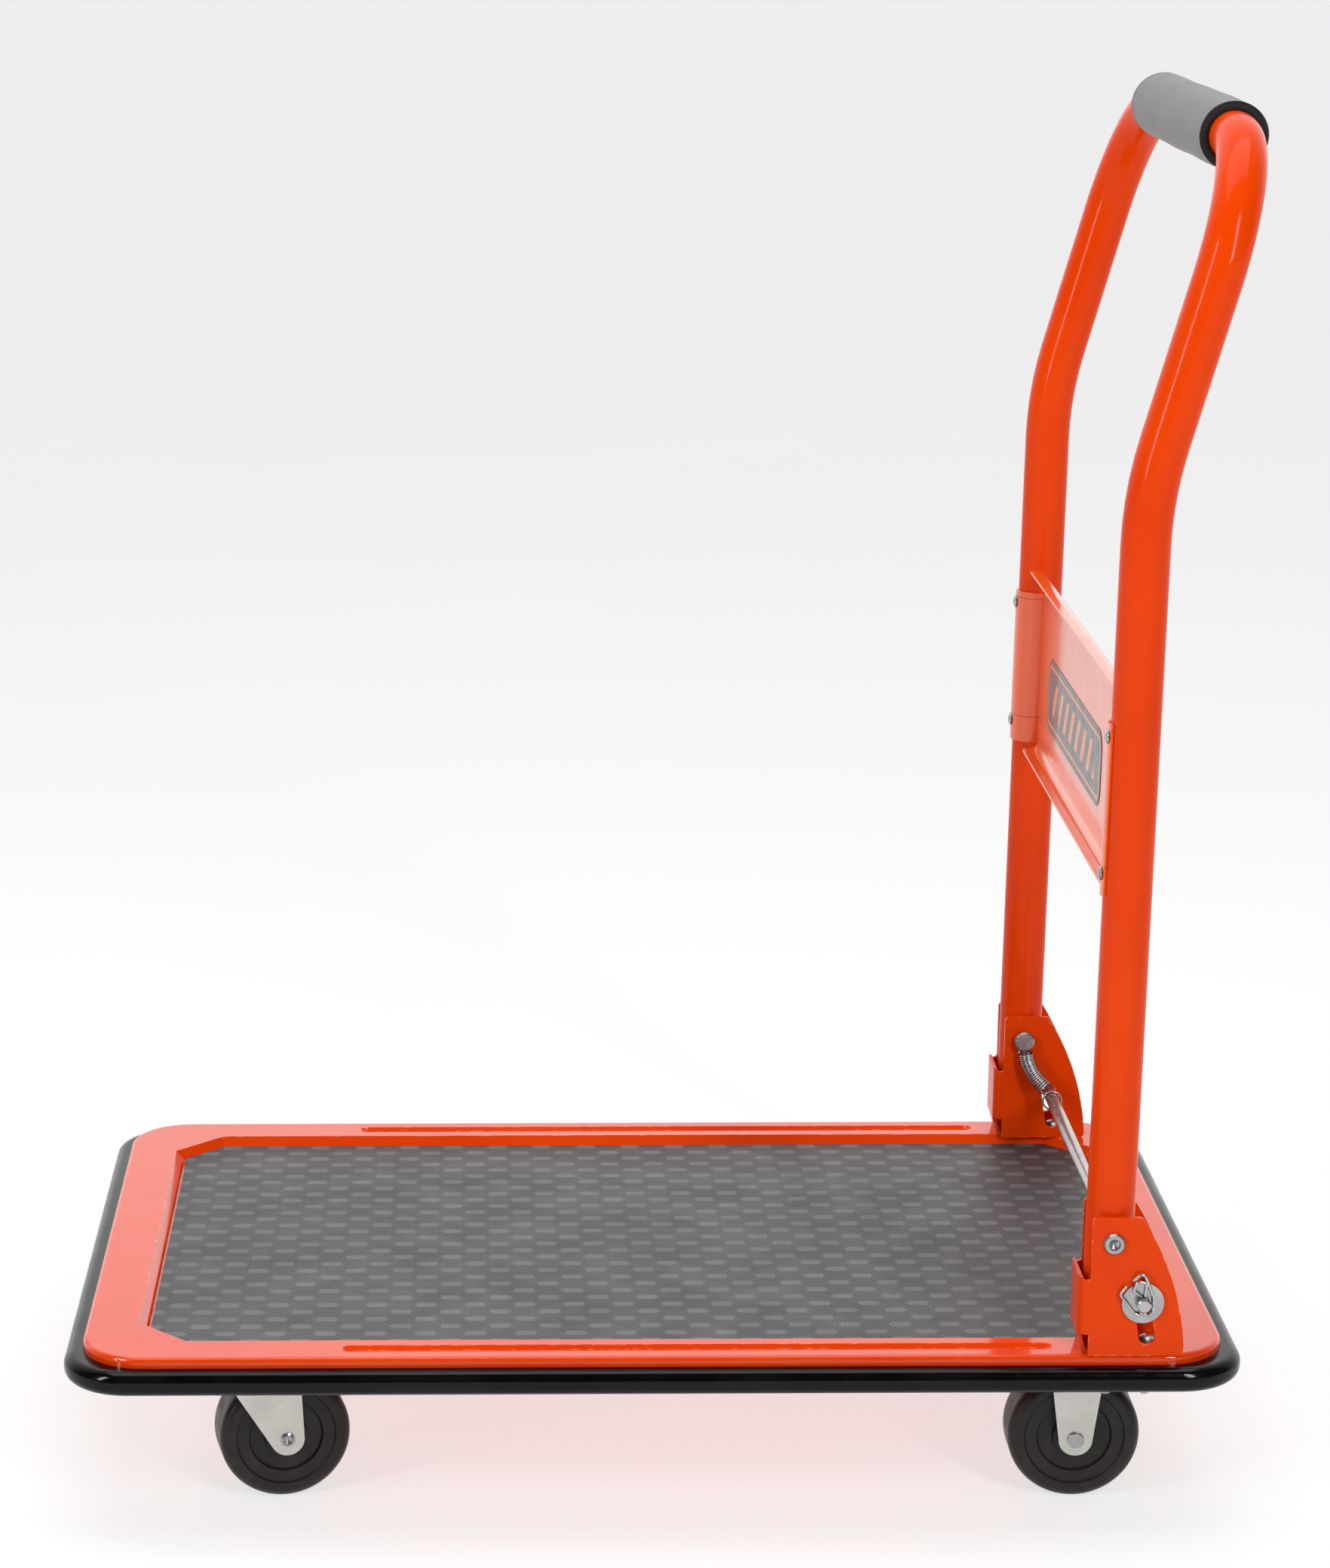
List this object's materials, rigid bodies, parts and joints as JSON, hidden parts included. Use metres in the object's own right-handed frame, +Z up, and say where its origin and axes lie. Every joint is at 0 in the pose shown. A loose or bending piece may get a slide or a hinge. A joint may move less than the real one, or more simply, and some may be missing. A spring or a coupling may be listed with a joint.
{
  "type": "folding platform cart",
  "caption": "Flat steel platform cart with a fold-down tubular push handle, foot release rod, edge bumper and rigid and swivel casters.",
  "frame": {"origin": "on the floor, under the middle of the deck's bumper outline", "axes": "+Z up, +X towards the handle end, +Y towards the right-hand side of a person who pushes"},
  "size_m": [0.74, 0.48, 0.8747],
  "materials": {
    "orange_paint": "gloss",
    "mat_rubber": "matte",
    "bumper_plastic": "gloss",
    "grip_foam": "matte",
    "badge_film": "satin",
    "plated_steel": "satin",
    "zinc_steel": "satin",
    "spring_steel": "satin",
    "wheel_rubber": "matte",
    "bush_plastic": "matte"
  },
  "bodies": {
    "chassis": {"deck_pan": "orange_paint", "anti_slip_mat": "mat_rubber", "edge_bumper": "bumper_plastic", "rigid_cross_member": "orange_paint", "swivel_cross_member": "orange_paint", "bracket_bolts": "plated_steel", "bracket_nuts": "plated_steel", "caster_studs": "plated_steel", "caster_nuts": "plated_steel", "left_hinge_bracket": "orange_paint", "left_pivot_rivet": "plated_steel", "left_return_spring": "spring_steel", "left_rigid_fork": "zinc_steel", "left_rigid_axle": "plated_steel", "left_swivel_plate": "zinc_steel", "left_kingpin": "plated_steel", "left_bearing_balls": "plated_steel", "right_hinge_bracket": "orange_paint", "right_pivot_rivet": "plated_steel", "right_return_spring": "spring_steel", "right_rigid_fork": "zinc_steel", "right_rigid_axle": "plated_steel", "right_swivel_plate": "zinc_steel", "right_kingpin": "plated_steel", "right_bearing_balls": "plated_steel"},
    "handle": {"handle_tube": "orange_paint", "foam_grip": "grip_foam", "brace_panel": "orange_paint", "panel_rivets": "plated_steel", "panel_badge": "badge_film"},
    "release": {"release_rod": "plated_steel", "rod_washers": "plated_steel", "split_pins": "spring_steel"},
    "left_swivel": {"left_swivel_fork": "zinc_steel", "left_swivel_axle": "plated_steel"},
    "left_swivel_roller": {"left_swivel_wheel": "wheel_rubber", "left_swivel_bush": "bush_plastic"},
    "left_rigid_roller": {"left_rigid_wheel": "wheel_rubber", "left_rigid_bush": "bush_plastic"},
    "right_swivel": {"right_swivel_fork": "zinc_steel", "right_swivel_axle": "plated_steel"},
    "right_swivel_roller": {"right_swivel_wheel": "wheel_rubber", "right_swivel_bush": "bush_plastic"},
    "right_rigid_roller": {"right_rigid_wheel": "wheel_rubber", "right_rigid_bush": "bush_plastic"}
  },
  "joints": [
    {"name": "handle_fold", "type": "hinge", "parent": "chassis", "child": "handle", "pos_m": [0.2826, 0, 0.189], "axis": [0, -1, 0], "range_deg": [0, 90]},
    {"name": "release_press", "type": "slide", "parent": "chassis", "child": "release", "axis": [0.153, 0, -0.9882], "range_m": [0, 0.023], "stiffness_N_per_m": 1500, "springref_m": -0.01, "deforming": ["left_return_spring", "right_return_spring"]},
    {"name": "left_swivel_turn", "type": "hinge", "parent": "chassis", "child": "left_swivel", "pos_m": [-0.26, -0.168, 0.0915], "axis": [0, 0, 1], "continuous": true},
    {"name": "left_swivel_wheel_spin", "type": "hinge", "parent": "left_swivel", "child": "left_swivel_roller", "pos_m": [-0.23555, -0.1628, 0.042], "axis": [-0.2079, 0.9781, 0], "continuous": true},
    {"name": "left_rigid_wheel_spin", "type": "hinge", "parent": "chassis", "child": "left_rigid_roller", "pos_m": [0.27, -0.168, 0.042], "axis": [0, 1, 0], "continuous": true},
    {"name": "right_swivel_turn", "type": "hinge", "parent": "chassis", "child": "right_swivel", "pos_m": [-0.26, 0.168, 0.0915], "axis": [0, 0, 1], "continuous": true},
    {"name": "right_swivel_wheel_spin", "type": "hinge", "parent": "right_swivel", "child": "right_swivel_roller", "pos_m": [-0.23555, 0.1732, 0.042], "axis": [-0.2079, 0.9781, 0], "continuous": true},
    {"name": "right_rigid_wheel_spin", "type": "hinge", "parent": "chassis", "child": "right_rigid_roller", "pos_m": [0.27, 0.168, 0.042], "axis": [0, 1, 0], "continuous": true}
  ]
}
